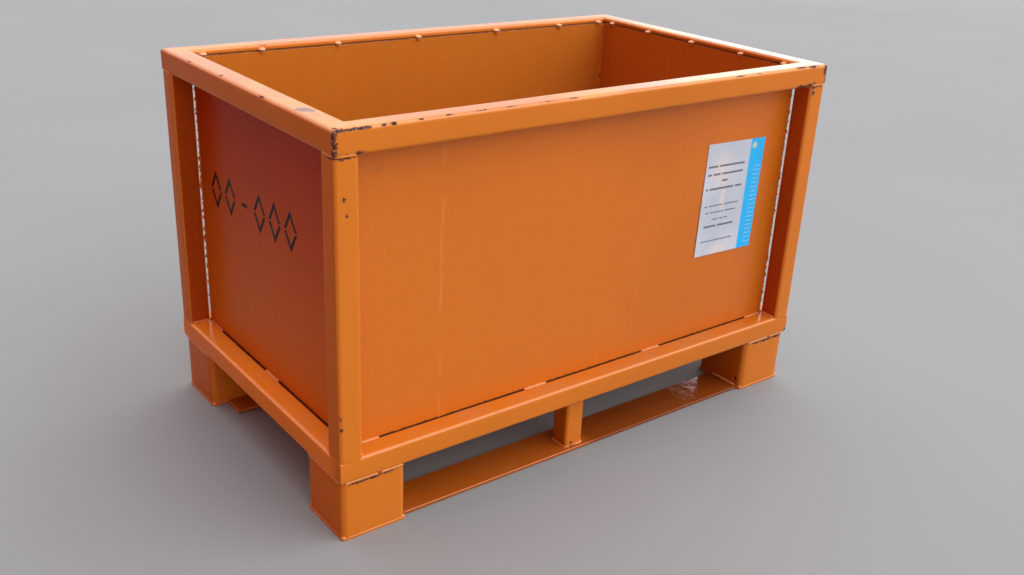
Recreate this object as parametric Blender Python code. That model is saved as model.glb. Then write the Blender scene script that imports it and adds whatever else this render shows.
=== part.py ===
"""Welded steel stillage: an open-topped, fork-liftable recycling bin.

A box of plain steel sheet stands inside a frame of square tube.  The frame stands on four
square legs, with a flat skid bar along the front and another behind, so that the forks of
a lift truck go in through closed pockets.  Everything is welded, and nothing moves.

Metres, +Z up.  X runs along the long side, Y goes from the front to the back, and the
origin is on the ground below the middle of the bin.
"""
import math

import bmesh
import bpy
from mathutils import Matrix, Vector

# --- driving dimensions ---------------------------------------------------------------
LENGTH = 1.410              # overall, along X
DEPTH = 0.850               # overall, along Y
HEIGHT = 0.895              # ground to the top rim
GAP = 0.0003                # left between pieces that touch

TUBE = 0.055                # outer width of the frame's square tube
TUBE_WALL = 0.003
TUBE_RADIUS = 0.0085        # outer corner radius of the frame's tube

BASE_HEIGHT = 0.1415        # ground to the underside of the bottom rails
LEG = 0.158                 # outer width of a leg
LEG_WALL = 0.006
LEG_RADIUS = 0.015
LEG_INSET = 0.0035          # frame's outer face to the leg's outer face
FOOT_PLATE = 0.005          # thickness of the plate that closes a leg's foot
CAP_PLATE = 0.005           # thickness of the plate let into a leg's top
VENT_HOLE = 0.012           # diameter of the hole low in each leg
VENT_EDGE = 0.020           # leg's outer face to the hole's centre
VENT_HEIGHT = 0.026         # ground to the hole's centre

SHEET = 0.003               # wall and floor sheet
SHEET_RADIUS = 0.0006       # rounding of the sheets' edges
PANEL_DROP = 0.0150         # top rim to the panels' top edges
BEARER = 0.040              # outer width of the floor bearers' tube
BEARER_WALL = 0.003
BEARER_RADIUS = 0.005

SKID_THICKNESS = 0.008      # flat bar under the fork pockets
SKID_LIFT = 0.001           # ground to the flat bar's underside
SKID_EDGE = 0.0012          # rounding of the flat bars' edges
FRONT_SKID_WIDTH = 0.100
FRONT_SKID_SETBACK = 0.015  # frame's front face to the bar's front edge
REAR_SKID_WIDTH = 0.068
REAR_SKID_INSET = 0.044     # frame's end to the rear bar's end
CENTRE_POST_X = 0.662       # frame's left end to the middle of the centre posts
FRONT_POST_SETBACK = 0.026  # frame's front face to the front post's face
REAR_POST_MARGIN = 0.006    # rear skid's front edge to the rear post's face
OUTER_BEARERS_X = (0.300, 1.070)   # frame's left end to the middle of the outer bearers

LABEL_SIZE = (0.210, 0.297)        # a sheet of paper's size
LABEL_THICKNESS = 0.0006
LABEL_MIDDLE = (1.1635, 0.564)     # from the frame's left end, and from the ground
LABEL_TURN = 1.5            # degrees clockwise, because it was stuck on by hand

CORNER_SEGMENTS = 5         # facets around a tube's corner
HOLE_SEGMENTS = 24

# --- places worked out from the driving dimensions ------------------------------------
RAIL_TOP = BASE_HEIGHT + TUBE              # top of the bottom rails
RIM_UNDERSIDE = HEIGHT - TUBE              # underside of the top rails
PANEL_FACE = TUBE + GAP                    # frame's outer face to a panel's outer face
PANEL_CLEAR = PANEL_FACE + SHEET + GAP     # frame's outer face to what fits between panels
PANEL_BOTTOM = BASE_HEIGHT + BEARER + GAP  # panels and floor stand on the bearers
PANEL_TOP = HEIGHT - PANEL_DROP
SKID_TOP = SKID_LIFT + SKID_THICKNESS
LEG_FAR = LEG_INSET + LEG                  # frame's outer face to a leg's inner face
REAR_SKID_FRONT = DEPTH - LEG_FAR - GAP - REAR_SKID_WIDTH

ORANGE = (0.62, 0.13, 0.018, 1.0)
DARK_ORANGE = (0.50, 0.09, 0.012, 1.0)
LABEL_GREY = (0.62, 0.64, 0.66, 1.0)


def clear_scene():
    for old in list(bpy.data.objects):
        bpy.data.objects.remove(old, do_unlink=True)


def make_material(name, colour, roughness, metallic=0.0):
    material = bpy.data.materials.new(name)
    material.use_nodes = True
    shader = material.node_tree.nodes["Principled BSDF"]
    shader.inputs["Base Color"].default_value = colour
    shader.inputs["Roughness"].default_value = roughness
    shader.inputs["Metallic"].default_value = metallic
    return material


def from_left_front(x, y, z):
    """A point given from the frame's left end, front face and the ground."""
    return Vector((x - LENGTH / 2, y - DEPTH / 2, z))


def add_object(name, bm, material, smooth=True):
    bmesh.ops.recalc_face_normals(bm, faces=bm.faces)
    mesh = bpy.data.meshes.new(name)
    bm.to_mesh(mesh)
    bm.free()
    if smooth:
        mesh.shade_smooth()
        mesh.set_sharp_from_angle(angle=math.radians(30))
    mesh.materials.append(material)
    obj = bpy.data.objects.new(name, mesh)
    bpy.context.scene.collection.objects.link(obj)
    return obj


def rounded_square(width, radius):
    """Outline of a square with round corners, centred on the origin, anticlockwise."""
    centre = width / 2 - radius
    points = []
    for quarter in range(4):
        start = quarter * math.pi / 2
        corner = Matrix.Rotation(start, 2) @ Vector((centre, centre))
        for step in range(CORNER_SEGMENTS + 1):
            angle = start + step / CORNER_SEGMENTS * math.pi / 2
            points.append(corner + radius * Vector((math.cos(angle), math.sin(angle))))
    return points


def tube_mesh(width, wall, radius, length, mitre=0.0):
    """Square tube along +X from 0 to length, its section centred on the X axis.

    A mitre of 1 cuts both ends at 45 degrees, so that the side at +Y is the short one.
    """
    bm = bmesh.new()
    outer = rounded_square(width, radius)
    inner = rounded_square(width - 2 * wall, max(radius - wall, wall / 2))
    rings = []
    for outline in (outer, inner):
        for at_far_end in (False, True):
            ring = []
            for y, z in outline:
                back = mitre * (y + width / 2)
                x = length - back if at_far_end else back
                ring.append(bm.verts.new((x, y, z)))
            rings.append(ring)
    outer_near, outer_far, inner_near, inner_far = rings
    count = len(outer)
    for i in range(count):
        j = (i + 1) % count
        bm.faces.new((outer_near[i], outer_far[i], outer_far[j], outer_near[j]))
        bm.faces.new((inner_near[j], inner_far[j], inner_far[i], inner_near[i]))
        bm.faces.new((outer_near[j], inner_near[j], inner_near[i], outer_near[i]))
        bm.faces.new((outer_far[i], inner_far[i], inner_far[j], outer_far[j]))
    return bm


def box_mesh(size, bevel=0.0):
    bm = bmesh.new()
    bmesh.ops.create_cube(bm, size=1.0, matrix=Matrix.Diagonal((*size, 1.0)))
    if bevel:
        bmesh.ops.bevel(bm, geom=bm.edges[:], offset=bevel, segments=2, profile=0.5,
                        affect="EDGES")
    return bm


def add_box(name, low, high, material, bevel=0.0):
    """Box between two corners given from the frame's left end, front face and the ground."""
    low, high = from_left_front(*low), from_left_front(*high)
    obj = add_object(name, box_mesh(high - low, bevel), material, smooth=False)
    obj.location = (low + high) / 2
    return obj


# --- frame ----------------------------------------------------------------------------
def add_mitred_frame(level, bottom, material):
    """Four mitred rails in a ring, the underside of the ring at the given height."""
    sides = {
        "front": (LENGTH, (0.0, -DEPTH / 2), 0),
        "right": (DEPTH, (LENGTH / 2, 0.0), 90),
        "back": (LENGTH, (0.0, DEPTH / 2), 180),
        "left": (DEPTH, (-LENGTH / 2, 0.0), 270),
    }
    for side, (length, middle, degrees) in sides.items():
        clear = GAP / math.sqrt(2)          # half of the gap, along the rail, at each mitre
        bm = tube_mesh(TUBE, TUBE_WALL, TUBE_RADIUS, length - 2 * clear, mitre=1.0)
        bmesh.ops.translate(bm, verts=bm.verts, vec=(clear - length / 2, TUBE / 2, 0.0))
        rail = add_object(f"{level}_rail_{side}", bm, material)
        rail.location = (*middle, bottom + TUBE / 2)
        rail.rotation_euler.z = math.radians(degrees)


def add_upright(name, width, wall, radius, centre, low, high, material):
    """Square tube standing upright, its middle given from the frame's left front corner."""
    bm = tube_mesh(width, wall, radius, high - low)
    post = add_object(name, bm, material)
    post.rotation_euler.y = -math.pi / 2
    post.location = from_left_front(*centre, low)
    return post


def corners(inset):
    """The four corners of the frame, moved in from its outer faces."""
    for depth_name, y in (("front", inset), ("back", DEPTH - inset)):
        for end_name, x in (("left", inset), ("right", LENGTH - inset)):
            yield f"{depth_name}_{end_name}", x, y


def add_corner_posts(material):
    for corner, x, y in corners(TUBE / 2):
        add_upright(f"corner_post_{corner}", TUBE, TUBE_WALL, TUBE_RADIUS, (x, y),
                    RAIL_TOP + GAP, RIM_UNDERSIDE - GAP, material)


# --- sheet box ------------------------------------------------------------------------
def add_panels(material):
    """Wall sheets lapped on the inner faces of the rails; the end sheets fit between."""
    far_x, far_y = LENGTH - PANEL_FACE, DEPTH - PANEL_FACE
    walls = {
        "panel_front": ((PANEL_FACE, PANEL_FACE), (far_x, PANEL_FACE + SHEET)),
        "panel_back": ((PANEL_FACE, far_y - SHEET), (far_x, far_y)),
        "panel_left": ((PANEL_FACE, PANEL_CLEAR), (PANEL_FACE + SHEET, DEPTH - PANEL_CLEAR)),
        "panel_right": ((far_x - SHEET, PANEL_CLEAR), (far_x, DEPTH - PANEL_CLEAR)),
    }
    for name, (low, high) in walls.items():
        add_box(name, (*low, PANEL_BOTTOM), (*high, PANEL_TOP), material, SHEET_RADIUS)


def add_floor(sheet_material, bearer_material):
    """Floor sheet let in between the panels, on three bearers between the long rails."""
    add_box("floor_sheet", (PANEL_CLEAR, PANEL_CLEAR, PANEL_BOTTOM),
            (LENGTH - PANEL_CLEAR, DEPTH - PANEL_CLEAR, PANEL_BOTTOM + SHEET),
            sheet_material, SHEET_RADIUS)
    span = DEPTH - 2 * PANEL_FACE
    middles = (OUTER_BEARERS_X[0], CENTRE_POST_X, OUTER_BEARERS_X[1])
    for name, x in zip(("left", "centre", "right"), middles):
        bm = tube_mesh(BEARER, BEARER_WALL, BEARER_RADIUS, span)
        bearer = add_object(f"floor_bearer_{name}", bm, bearer_material)
        bearer.rotation_euler.z = math.pi / 2
        bearer.location = from_left_front(x, PANEL_FACE, BASE_HEIGHT + BEARER / 2)


# --- legs -----------------------------------------------------------------------------
def cut_vent_hole(leg, corner, x, y):
    """Bore the vent hole through the leg's wall that faces the other end of the bin."""
    outward_y = -1.0 if corner.startswith("front") else 1.0
    inward_x = 1.0 if corner.endswith("left") else -1.0
    bm = bmesh.new()
    bmesh.ops.create_cone(bm, cap_ends=True, segments=HOLE_SEGMENTS, radius1=VENT_HOLE / 2,
                          radius2=VENT_HOLE / 2, depth=LEG_WALL * 3)
    cutter = add_object(f"cutter_{leg.name}", bm, leg.data.materials[0])
    cutter.rotation_euler.y = math.pi / 2
    cutter.location = from_left_front(x + inward_x * (LEG - LEG_WALL) / 2,
                                      y + outward_y * (LEG / 2 - VENT_EDGE), VENT_HEIGHT)
    cutter.hide_render = True
    cutter.display_type = "WIRE"
    hole = leg.modifiers.new("vent_hole", "BOOLEAN")
    hole.operation = "DIFFERENCE"
    hole.solver = "EXACT"
    hole.object = cutter


def add_legs(material):
    middle = LEG_INSET + LEG / 2
    inside = LEG - 2 * LEG_WALL - 2 * GAP
    leg_top = BASE_HEIGHT - GAP
    for corner, x, y in corners(middle):
        leg = add_upright(f"leg_{corner}", LEG, LEG_WALL, LEG_RADIUS, (x, y),
                          FOOT_PLATE + GAP, leg_top, material)
        cut_vent_hole(leg, corner, x, y)
        half = LEG / 2
        add_box(f"foot_plate_{corner}", (x - half, y - half, 0.0),
                (x + half, y + half, FOOT_PLATE), material, SKID_EDGE)
        half = inside / 2
        cap = add_box(f"leg_cap_{corner}", (x - half, y - half, leg_top - CAP_PLATE),
                      (x + half, y + half, leg_top), material)
        chamfer_upright_edges(cap, LEG_RADIUS - LEG_WALL)


def chamfer_upright_edges(obj, size):
    """Cut a plate's four corners back, so that it clears the tube's rounded inside."""
    bm = bmesh.new()
    bm.from_mesh(obj.data)
    upright = [e for e in bm.edges if abs(e.verts[0].co.z - e.verts[1].co.z) > CAP_PLATE / 2]
    bmesh.ops.bevel(bm, geom=upright, offset=size, segments=1, affect="EDGES")
    bm.to_mesh(obj.data)
    bm.free()


# --- fork pockets ---------------------------------------------------------------------
def add_skids_and_centre_posts(material):
    front_edge = FRONT_SKID_SETBACK
    add_box("front_skid", (LEG_FAR + GAP, front_edge, SKID_LIFT),
            (LENGTH - LEG_FAR - GAP, front_edge + FRONT_SKID_WIDTH, SKID_TOP),
            material, SKID_EDGE)
    add_box("rear_skid", (REAR_SKID_INSET, REAR_SKID_FRONT, SKID_LIFT),
            (LENGTH - REAR_SKID_INSET, REAR_SKID_FRONT + REAR_SKID_WIDTH, SKID_TOP),
            material, SKID_EDGE)
    faces = {"front": FRONT_POST_SETBACK, "rear": REAR_SKID_FRONT + REAR_POST_MARGIN}
    for name, face in faces.items():
        add_upright(f"{name}_centre_post", TUBE, TUBE_WALL, TUBE_RADIUS,
                    (CENTRE_POST_X, face + TUBE / 2), SKID_TOP + GAP, BASE_HEIGHT - GAP,
                    material)


def add_label(material):
    """Adhesive label on the front panel, near its right end."""
    back = PANEL_FACE - GAP
    width, height = LABEL_SIZE
    x, z = LABEL_MIDDLE
    label = add_box("label", (x - width / 2, back - LABEL_THICKNESS, z - height / 2),
                    (x + width / 2, back, z + height / 2), material)
    label.rotation_euler.y = math.radians(LABEL_TURN)


def build():
    clear_scene()
    frame_paint = make_material("frame_paint", ORANGE, 0.42)
    sheet_paint = make_material("sheet_paint", DARK_ORANGE, 0.45)
    label_film = make_material("label_film", LABEL_GREY, 0.35)
    add_mitred_frame("top", RIM_UNDERSIDE, frame_paint)
    add_mitred_frame("bottom", BASE_HEIGHT, frame_paint)
    add_corner_posts(frame_paint)
    add_panels(sheet_paint)
    add_floor(sheet_paint, frame_paint)
    add_legs(frame_paint)
    add_skids_and_centre_posts(frame_paint)
    add_label(label_film)


build()
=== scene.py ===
"""Looks for the welded steel stillage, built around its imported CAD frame.

An open bin of sheet steel in a frame of square tube, painted orange.  The rails, posts,
legs, sheets and skid bars are rebuilt here as finer meshes in the CAD nodes' places, and
the weld beads, tacks and printed label are added.  Metres, +Z up, the front faces -Y.
"""
import math
import random

import bmesh
import bpy
from mathutils import Matrix, Vector, noise


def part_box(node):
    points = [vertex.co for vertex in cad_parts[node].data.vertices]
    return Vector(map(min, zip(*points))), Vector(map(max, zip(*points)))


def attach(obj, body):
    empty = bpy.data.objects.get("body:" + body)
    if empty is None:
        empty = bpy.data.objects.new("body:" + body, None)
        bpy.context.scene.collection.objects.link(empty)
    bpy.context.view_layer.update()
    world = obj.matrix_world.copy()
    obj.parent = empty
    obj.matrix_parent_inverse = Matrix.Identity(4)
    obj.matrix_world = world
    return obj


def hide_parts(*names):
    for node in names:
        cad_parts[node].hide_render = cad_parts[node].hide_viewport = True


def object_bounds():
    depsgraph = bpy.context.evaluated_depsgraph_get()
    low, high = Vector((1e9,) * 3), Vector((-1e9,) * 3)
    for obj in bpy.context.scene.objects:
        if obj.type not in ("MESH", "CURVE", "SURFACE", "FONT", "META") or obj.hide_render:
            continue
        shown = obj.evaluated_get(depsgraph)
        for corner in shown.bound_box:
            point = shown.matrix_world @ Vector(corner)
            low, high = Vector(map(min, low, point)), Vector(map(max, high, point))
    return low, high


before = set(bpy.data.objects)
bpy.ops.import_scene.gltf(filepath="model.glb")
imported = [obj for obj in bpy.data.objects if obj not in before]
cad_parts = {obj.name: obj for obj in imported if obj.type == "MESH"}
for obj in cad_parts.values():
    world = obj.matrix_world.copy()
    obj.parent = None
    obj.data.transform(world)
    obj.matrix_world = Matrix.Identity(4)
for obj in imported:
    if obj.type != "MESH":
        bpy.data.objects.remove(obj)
CAD_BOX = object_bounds()
LOW, HIGH = CAD_BOX

# --- sizes read from the frame --------------------------------------------------------
RIM = HIGH.z
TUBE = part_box("top_rail_front")[1].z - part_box("top_rail_front")[0].z
RAIL_LOW, RAIL_TOP = (corner.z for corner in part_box("bottom_rail_front"))
RIM_LOW = RIM - TUBE
PANEL_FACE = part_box("panel_front")[0].y - LOW.y      # frame's face to a panel's face
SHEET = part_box("panel_front")[1].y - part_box("panel_front")[0].y
PANEL_LOW, PANEL_TOP = (corner.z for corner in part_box("panel_front"))
SKID_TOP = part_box("front_skid")[1].z

# --- sizes that only the looks need ---------------------------------------------------
TUBE_RADIUS = 0.0085
LEG_RADIUS = 0.0165
LEG_WALL = 0.006
MITRE_ROUND = 0.0016          # rounding of the ground welds at the mitred corners
SKIN = 0.0004                 # how far visible skins stay inside the CAD faces
VENT_RADIUS = 0.006
VENT_HEIGHT = 0.026           # ground to a vent hole's centre
VENT_EDGE = 0.020             # leg's outer face to a vent hole's centre
WELD_RIPPLE = 0.0024          # one frozen puddle's length along a bead
POST_OVERLAP = 0.0012         # how far the posts' skins run into the rails' skins
END_FACING = 0.90             # faces whose normals reach this along X have the ends' paint
MESH_STEP = 0.035             # length of the tubes' faces
WELD_SHARP = 80               # a bead's shading is broken only above this angle
CORNERS = ("front_left", "front_right", "back_left", "back_right")


def at(x, y, z):
    """A point given from the frame's left end, its front face and the ground."""
    return Vector((LOW.x + x, LOW.y + y, z))


def node_middle(node):
    low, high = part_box(node)
    return (low + high) / 2


def corner_signs(corner):
    """Which way a corner lies from the object's middle, along X and along Y."""
    return (-1 if corner.endswith("left") else 1), (-1 if corner.startswith("front") else 1)


# --- mesh helpers ---------------------------------------------------------------------
def mesh_from(bm, name):
    """Turn a bmesh into a mesh and free it."""
    mesh = bpy.data.meshes.new(name)
    bm.to_mesh(mesh)
    bm.free()
    return mesh


def add_object(name, data):
    """Put a mesh, lamp or camera in the scene."""
    obj = bpy.data.objects.new(name, data)
    bpy.context.scene.collection.objects.link(obj)
    return obj


def add_piece(name, bm, material, stands_for=(), sharp=40):
    """Turn a bmesh into a piece that rides on the root body.

    A pair of materials is one for most faces and one for those that look along X.
    """
    bmesh.ops.recalc_face_normals(bm, faces=bm.faces)
    mesh = mesh_from(bm, name)
    mesh.shade_smooth()
    mesh.set_sharp_from_angle(angle=math.radians(sharp))
    looks = material if isinstance(material, tuple) else (material,)
    for look in looks:
        mesh.materials.append(look)
    if len(looks) > 1:
        for face in mesh.polygons:
            face.material_index = int(abs(face.normal.x) > END_FACING)
    obj = add_object(name, mesh)
    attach(obj, "root")
    if stands_for:
        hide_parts(*stands_for)
    return obj


def section(width, radius, arc_steps=7, flat_steps=4):
    """Outline of a round-cornered square, anticlockwise, with points along its flats."""
    half = width / 2
    points = []
    for quarter in range(4):
        turn = Matrix.Rotation(quarter * math.pi / 2, 2)
        for step in range(arc_steps + 1):
            angle = step / arc_steps * math.pi / 2
            arm = Vector((math.cos(angle), math.sin(angle))) * radius
            points.append(turn @ (Vector((half - radius, half - radius)) + arm))
        for step in range(1, flat_steps):
            along = half - radius - step / flat_steps * (width - 2 * radius)
            points.append(turn @ Vector((along, half)))
    return points


def skin_rings(bm, rings, closed=False, caps=True):
    """Join successive rings of vertices with quads."""
    count = len(rings[0])
    following = rings[1:] + rings[:1] if closed else rings[1:]
    for near, far in zip(rings, following):
        for i in range(count):
            j = (i + 1) % count
            bm.faces.new((near[i], near[j], far[j], far[i]))
    if caps and not closed:
        bm.faces.new(list(reversed(rings[0])))
        bm.faces.new(rings[-1])


def wobble(point, seed, size, amount):
    """Smooth, repeatable unevenness between 0 and amount."""
    value = noise.noise(point / size + Vector((seed * 7.3, seed * 3.1, seed * 5.7)))
    return amount * (0.5 + 0.5 * max(-1.0, min(1.0, value * 1.6)))


def tube_ring(name, bottom, nodes, material, seed):
    """Four mitred tubes as one welded ring, its corners ground smooth."""
    half_x, half_y = (HIGH.x - LOW.x - TUBE) / 2, (HIGH.y - LOW.y - TUBE) / 2
    corners = [Vector((sx * half_x, sy * half_y, bottom + TUBE / 2))
               for sx, sy in ((-1, -1), (1, -1), (1, 1), (-1, 1))]
    outline = section(TUBE - 2 * SKIN, TUBE_RADIUS)
    bm = bmesh.new()
    rings = []
    for i, start in enumerate(corners):
        end = corners[(i + 1) % 4]
        along = (end - start).normalized()
        outward = Vector((along.y, -along.x, 0.0))
        before = (start - corners[i - 1]).normalized()
        mitre = outward + Vector((before.y, -before.x, 0.0))
        steps = round((end - start).length / MESH_STEP)
        for step in range(steps):
            middle = start.lerp(end, step / steps)
            side = mitre if step == 0 else outward
            ring = []
            for u, v in outline:
                point = middle + side * u + Vector((0.0, 0.0, v))
                inward = (middle - point).normalized()
                if step:
                    point += inward * wobble(point, seed, 0.16, 0.0006)
                ring.append(bm.verts.new(point))
            rings.append(ring)
    skin_rings(bm, rings, closed=True)
    tubes = add_piece(name, bm, material, nodes)
    bevel = tubes.modifiers.new("rounding", "BEVEL")
    bevel.width = MITRE_ROUND
    bevel.segments = 3
    bevel.limit_method = "ANGLE"
    bevel.angle_limit = math.radians(50)


def upright_tube(bm, centre, width, radius, low, high, wall=None, seed=0, bow=0.0004):
    """Skin of an upright tube: solid if there is no wall, else open all the way through."""
    outlines = [section(width, radius, 9 if radius > 0.01 else 7)]
    if wall:
        outlines.append(section(width - 2 * wall, max(radius - wall, 0.002), 9))
    steps = max(2, round((high - low) / MESH_STEP))
    stacks = []
    for layer, outline in enumerate(outlines):
        rings = []
        for step in range(steps + 1):
            z = low + (high - low) * step / steps
            ring = []
            for u, v in outline:
                point = Vector((centre.x + u, centre.y + v, z))
                inward = (Vector((centre.x, centre.y, z)) - point).normalized()
                if layer == 0:
                    point += inward * (SKIN + wobble(point, seed, 0.13, bow))
                ring.append(bm.verts.new(point))
            rings.append(ring)
        skin_rings(bm, rings, caps=wall is None)
        stacks.append(rings)
    if wall:
        for end in (0, -1):
            skin_rings(bm, [stacks[0][end], stacks[1][end]], caps=False)


# --- frame pieces ---------------------------------------------------------------------
def add_frame(material, recess):
    """Rails, corner posts and pocket posts; the posts' inner faces have a darker, redder paint, a
    painted shade of the recess.
    """
    sides = ("front", "right", "back", "left")
    tube_ring("rim_frame", RIM_LOW, [f"top_rail_{s}" for s in sides], material, 1)
    tube_ring("base_frame", RAIL_LOW, [f"bottom_rail_{s}" for s in sides], material, 2)
    for index, corner in enumerate(CORNERS):
        node = f"corner_post_{corner}"
        bm = bmesh.new()
        upright_tube(bm, node_middle(node), TUBE, TUBE_RADIUS, RAIL_TOP - POST_OVERLAP,
                     RIM_LOW + POST_OVERLAP, seed=3 + index)
        post = add_piece(f"post_{corner}", bm, (*material, recess), [node])
        sx, sy = corner_signs(corner)
        for face in post.data.polygons:
            if max(-sx * face.normal.x, -sy * face.normal.y) > END_FACING:
                face.material_index = 2
    for place in ("front", "rear"):
        node = f"{place}_centre_post"
        low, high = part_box(node)
        bm = bmesh.new()
        upright_tube(bm, node_middle(node), high.x - low.x, TUBE_RADIUS, low.z - 0.0005,
                     high.z + 0.001, seed=11 + len(place))
        add_piece(f"{place}_pocket_post", bm, material, [node])


def add_legs(material):
    """Box legs with a vent hole and a flat foot plate; the CAD caps that the rails hide are kept.
    """
    for index, corner in enumerate(CORNERS):
        node = f"leg_{corner}"
        low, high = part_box(node)
        centre = node_middle(node)
        bm = bmesh.new()
        upright_tube(bm, centre, high.x - low.x, LEG_RADIUS, low.z, high.z + 0.0002,
                     wall=LEG_WALL, seed=20 + index, bow=0.0007)
        leg = add_piece(f"box_leg_{corner}", bm, material, [node])
        sx, sy = corner_signs(corner)
        hole = Vector((centre.x - sx * (high.x - low.x) / 2,
                       centre.y + sy * ((high.y - low.y) / 2 - VENT_EDGE), VENT_HEIGHT))
        bore(leg, hole, VENT_RADIUS, LEG_WALL * 3)
        add_foot(f"foot_plate_{corner}", material)


def bore(obj, middle, radius, depth):
    """Cut a round hole along X and keep the result as the object's mesh."""
    bm = bmesh.new()
    along_x = Matrix.Translation(middle) @ Matrix.Rotation(math.pi / 2, 4, "Y")
    bmesh.ops.create_cone(bm, cap_ends=True, segments=40, radius1=radius, radius2=radius,
                          depth=depth, matrix=along_x)
    drill = add_object("drill", mesh_from(bm, "drill"))
    cut = obj.modifiers.new("hole", "BOOLEAN")
    cut.operation = "DIFFERENCE"
    cut.solver = "EXACT"
    cut.object = drill
    bpy.context.view_layer.update()
    evaluated = obj.evaluated_get(bpy.context.evaluated_depsgraph_get())
    result = bpy.data.meshes.new_from_object(evaluated)
    obj.modifiers.clear()
    obj.data = result
    bpy.data.objects.remove(drill)
    obj.data.set_sharp_from_angle(angle=math.radians(40))


def add_foot(node, material):
    """Foot plate with rounded corners and slightly broken edges."""
    low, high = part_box(node)
    bm = bmesh.new()
    bmesh.ops.create_cube(bm, size=1.0)
    bmesh.ops.scale(bm, verts=bm.verts, vec=high - low - Vector((SKIN, SKIN, 0)) * 2)
    bmesh.ops.translate(bm, verts=bm.verts, vec=(low + high) / 2)
    upright = [e for e in bm.edges if abs(e.verts[0].co.z - e.verts[1].co.z) > 0.001]
    bmesh.ops.bevel(bm, geom=upright, offset=0.009, segments=4, profile=0.5, affect="EDGES")
    bmesh.ops.bevel(bm, geom=list(bm.edges), offset=0.0008, segments=2, profile=0.5,
                    affect="EDGES")
    add_piece(node.replace("foot_plate", "sole_plate"), bm, material, [node])


# --- sheets and flat bars -------------------------------------------------------------
def grid_slab(bm, low, high, across, divisions, rounding, bulge):
    """Slab as a closed grid: across is its thin axis, bulge moves both skins together."""
    wide, tall = [axis for axis in range(3) if axis != across]

    def spread(axis, count):
        """Even steps, with two close ones at each edge to hold its rounding."""
        span = high[axis] - low[axis]
        margin = 3 * rounding
        inner = [margin + (span - 2 * margin) * i / (count - 4) for i in range(count - 3)]
        steps = [0.0, rounding] + inner + [span - rounding, span]
        return [low[axis] + s for s in steps]

    us, vs = spread(wide, divisions[0]), spread(tall, divisions[1])
    layers = []
    for side, level in ((0, low[across]), (1, high[across])):
        layer = {}
        for i, u in enumerate(us):
            for j, v in enumerate(vs):
                point = Vector()
                point[wide], point[tall], point[across] = u, v, level
                if i in (0, len(us) - 1) or j in (0, len(vs) - 1):
                    point[across] += rounding * (1 if side == 0 else -1)
                point[across] += bulge(point)
                layer[i, j] = bm.verts.new(point)
        layers.append(layer)
    last_i, last_j = len(us) - 1, len(vs) - 1
    for layer in layers:
        for i in range(last_i):
            for j in range(last_j):
                bm.faces.new((layer[i, j], layer[i + 1, j], layer[i + 1, j + 1],
                              layer[i, j + 1]))
    rim = ([(i, 0) for i in range(last_i)] + [(last_i, j) for j in range(last_j)]
           + [(i, last_j) for i in range(last_i, 0, -1)] + [(0, j) for j in range(last_j, 0, -1)])
    for here, there in zip(rim, rim[1:] + rim[:1]):
        bm.faces.new((layers[0][here], layers[0][there], layers[1][there], layers[1][here]))


def add_panels(material):
    """Wall sheets, very slightly wavy between the welds that hold their edges."""
    inward = {"front": (1, 1), "back": (1, -1), "left": (0, 1), "right": (0, -1)}
    for index, (side, (across, sign)) in enumerate(inward.items()):
        low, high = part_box(f"panel_{side}")
        along = 1 - across

        def bulge(point):
            s = (point[along] - low[along]) / (high[along] - low[along])
            t = (point.z - low.z) / (high.z - low.z)
            s, t = min(max(s, 0.0), 1.0), min(max(t, 0.0), 1.0)
            hold = math.sin(math.pi * s) * math.sin(math.pi * t)
            return sign * hold * (wobble(point, 30 + index, 0.33, 0.0020)
                                  + wobble(point, 40 + index, 0.11, 0.0003))

        bm = bmesh.new()
        divisions = (round((high[along] - low[along]) / 0.022), 32)
        grid_slab(bm, low, high, across, divisions, 0.0006, bulge)
        add_piece(f"wall_sheet_{side}", bm, material[side], [f"panel_{side}"],
                  sharp=60)


def add_floor(material):
    """Floor sheet, worn slightly hollow in places."""
    low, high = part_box("floor_sheet")
    bm = bmesh.new()
    grid_slab(bm, low, high, 2, (62, 36), 0.0006, lambda point: -wobble(point, 50, 0.24, 0.0015))
    add_piece("bin_floor_sheet", bm, material, ["floor_sheet"], sharp=60)


def add_skids(material):
    """Flat bars under the fork pockets; driving on them has twisted them a little."""
    for place, sag in (("front", 0.0007), ("rear", 0.0006)):
        low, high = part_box(f"{place}_skid")

        def bulge(point):
            s = (point.x - low.x) / (high.x - low.x)
            t = (point.y - low.y) / (high.y - low.y)
            twist = (t - 0.5) * math.sin(2 * math.pi * s) * 0.5 - 0.5
            return sag * twist * math.sin(math.pi * min(max(s, 0.0), 1.0))

        bm = bmesh.new()
        grid_slab(bm, low, high, 2, (60, 12), 0.0011, bulge)
        add_piece(f"{place}_skid_bar", bm, material, [f"{place}_skid"])


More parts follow.
